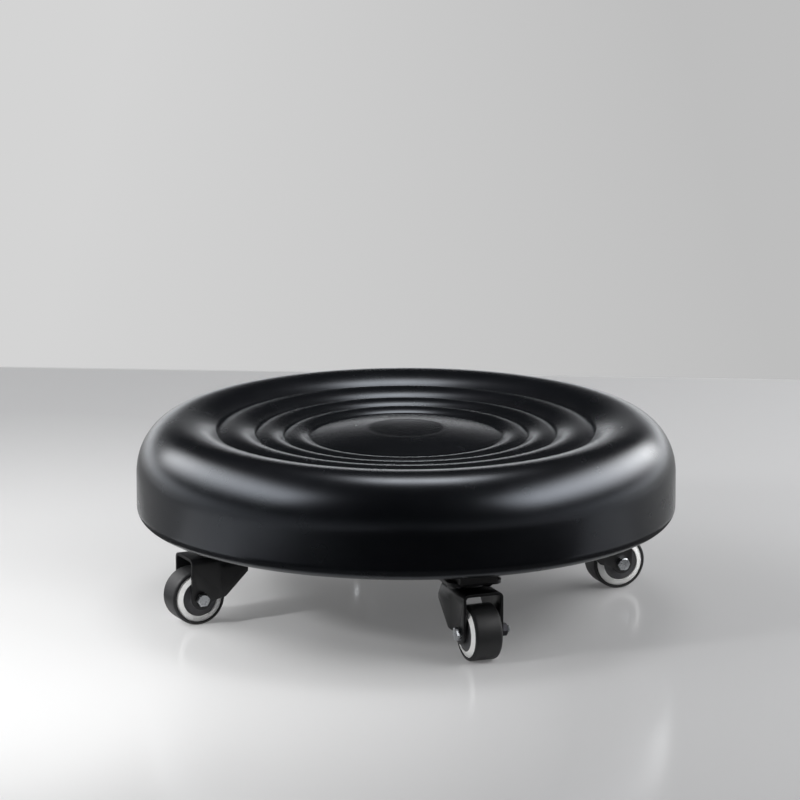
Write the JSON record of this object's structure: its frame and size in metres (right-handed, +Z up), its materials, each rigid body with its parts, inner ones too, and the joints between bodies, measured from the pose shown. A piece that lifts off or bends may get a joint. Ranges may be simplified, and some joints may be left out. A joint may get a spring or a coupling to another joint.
{
  "type": "rolling stool",
  "caption": "Low round rolling stool: a moulded black seat with stepped concentric rings on a board and a tube cross, carried by swivel casters with pale-ringed wheels.",
  "frame": {"origin": "on the floor under the seat's centre", "axes": "+Z up, -Y towards the viewer of the picture"},
  "size_m": [0.37, 0.37, 0.1309],
  "materials": {
    "seat_skin": "semi-gloss moulded skin",
    "plywood": "raw",
    "zinc_steel": "bright zinc",
    "black_frame_paint": "satin",
    "black_cap_plastic": "matt",
    "black_screw_steel": "black oxide",
    "black_caster_paint": "satin",
    "ball_steel": "polished",
    "tyre_rubber": "matt",
    "pale_core_plastic": "semi-gloss",
    "dark_cover_plastic": "satin",
    "bush_plastic": "natural"
  },
  "bodies": {
    "seat": {"seat_cushion": "seat_skin", "seat_board": "plywood", "board_tee_nuts": "zinc_steel", "frame_bar_long": "black_frame_paint", "frame_bar_rear": "black_frame_paint", "frame_bar_front": "black_frame_paint", "bar_end_caps": "black_cap_plastic", "frame_bolts": "zinc_steel", "plate_screws": "black_screw_steel", "caster_plate_right": "black_caster_paint", "king_pin_right": "zinc_steel", "caster_plate_rear": "black_caster_paint", "king_pin_rear": "zinc_steel", "caster_plate_left": "black_caster_paint", "king_pin_left": "zinc_steel", "caster_plate_front": "black_caster_paint", "king_pin_front": "zinc_steel"},
    "fork_right_body": {"fork_right": "black_caster_paint", "swivel_balls_right": "ball_steel", "axle_sleeve_right": "zinc_steel", "axle_bolt_right": "zinc_steel", "axle_nut_right": "black_screw_steel"},
    "wheel_right_body": {"tyre_right": "tyre_rubber", "wheel_core_right": "pale_core_plastic", "hub_covers_right": "dark_cover_plastic", "wheel_bushes_right": "bush_plastic"},
    "fork_rear_body": {"fork_rear": "black_caster_paint", "swivel_balls_rear": "ball_steel", "axle_sleeve_rear": "zinc_steel", "axle_bolt_rear": "zinc_steel", "axle_nut_rear": "black_screw_steel"},
    "wheel_rear_body": {"tyre_rear": "tyre_rubber", "wheel_core_rear": "pale_core_plastic", "hub_covers_rear": "dark_cover_plastic", "wheel_bushes_rear": "bush_plastic"},
    "fork_left_body": {"fork_left": "black_caster_paint", "swivel_balls_left": "ball_steel", "axle_sleeve_left": "zinc_steel", "axle_bolt_left": "zinc_steel", "axle_nut_left": "black_screw_steel"},
    "wheel_left_body": {"tyre_left": "tyre_rubber", "wheel_core_left": "pale_core_plastic", "hub_covers_left": "dark_cover_plastic", "wheel_bushes_left": "bush_plastic"},
    "fork_front_body": {"fork_front": "black_caster_paint", "swivel_balls_front": "ball_steel", "axle_sleeve_front": "zinc_steel", "axle_bolt_front": "zinc_steel", "axle_nut_front": "black_screw_steel"},
    "wheel_front_body": {"tyre_front": "tyre_rubber", "wheel_core_front": "pale_core_plastic", "hub_covers_front": "dark_cover_plastic", "wheel_bushes_front": "bush_plastic"}
  },
  "joints": [
    {"name": "swivel_right", "type": "hinge", "parent": "seat", "child": "fork_right_body", "pos_m": [0.12649, 0.0411, 0.047], "axis": [0, 0, 1], "continuous": true},
    {"name": "roll_right", "type": "hinge", "parent": "fork_right_body", "child": "wheel_right_body", "pos_m": [0.1451, 0.04843, 0.019], "axis": [0.3665, -0.9304, 0], "continuous": true},
    {"name": "swivel_rear", "type": "hinge", "parent": "seat", "child": "fork_rear_body", "pos_m": [-0.0411, 0.12649, 0.047], "axis": [0, 0, 1], "continuous": true},
    {"name": "roll_rear", "type": "hinge", "parent": "fork_rear_body", "child": "wheel_rear_body", "pos_m": [-0.05049, 0.10883, 0.019], "axis": [-0.8829, 0.4695, 0], "continuous": true},
    {"name": "swivel_left", "type": "hinge", "parent": "seat", "child": "fork_left_body", "pos_m": [-0.12649, -0.0411, 0.047], "axis": [0, 0, 1], "continuous": true},
    {"name": "roll_left", "type": "hinge", "parent": "fork_left_body", "child": "wheel_left_body", "pos_m": [-0.14462, -0.04955, 0.019], "axis": [-0.4226, 0.9063, 0], "continuous": true},
    {"name": "swivel_front", "type": "hinge", "parent": "seat", "child": "fork_front_body", "pos_m": [0.0411, -0.12649, 0.047], "axis": [0, 0, 1], "continuous": true},
    {"name": "roll_front", "type": "hinge", "parent": "fork_front_body", "child": "wheel_front_body", "pos_m": [0.04859, -0.14503, 0.019], "axis": [-0.9272, -0.3746, 0], "continuous": true}
  ]
}
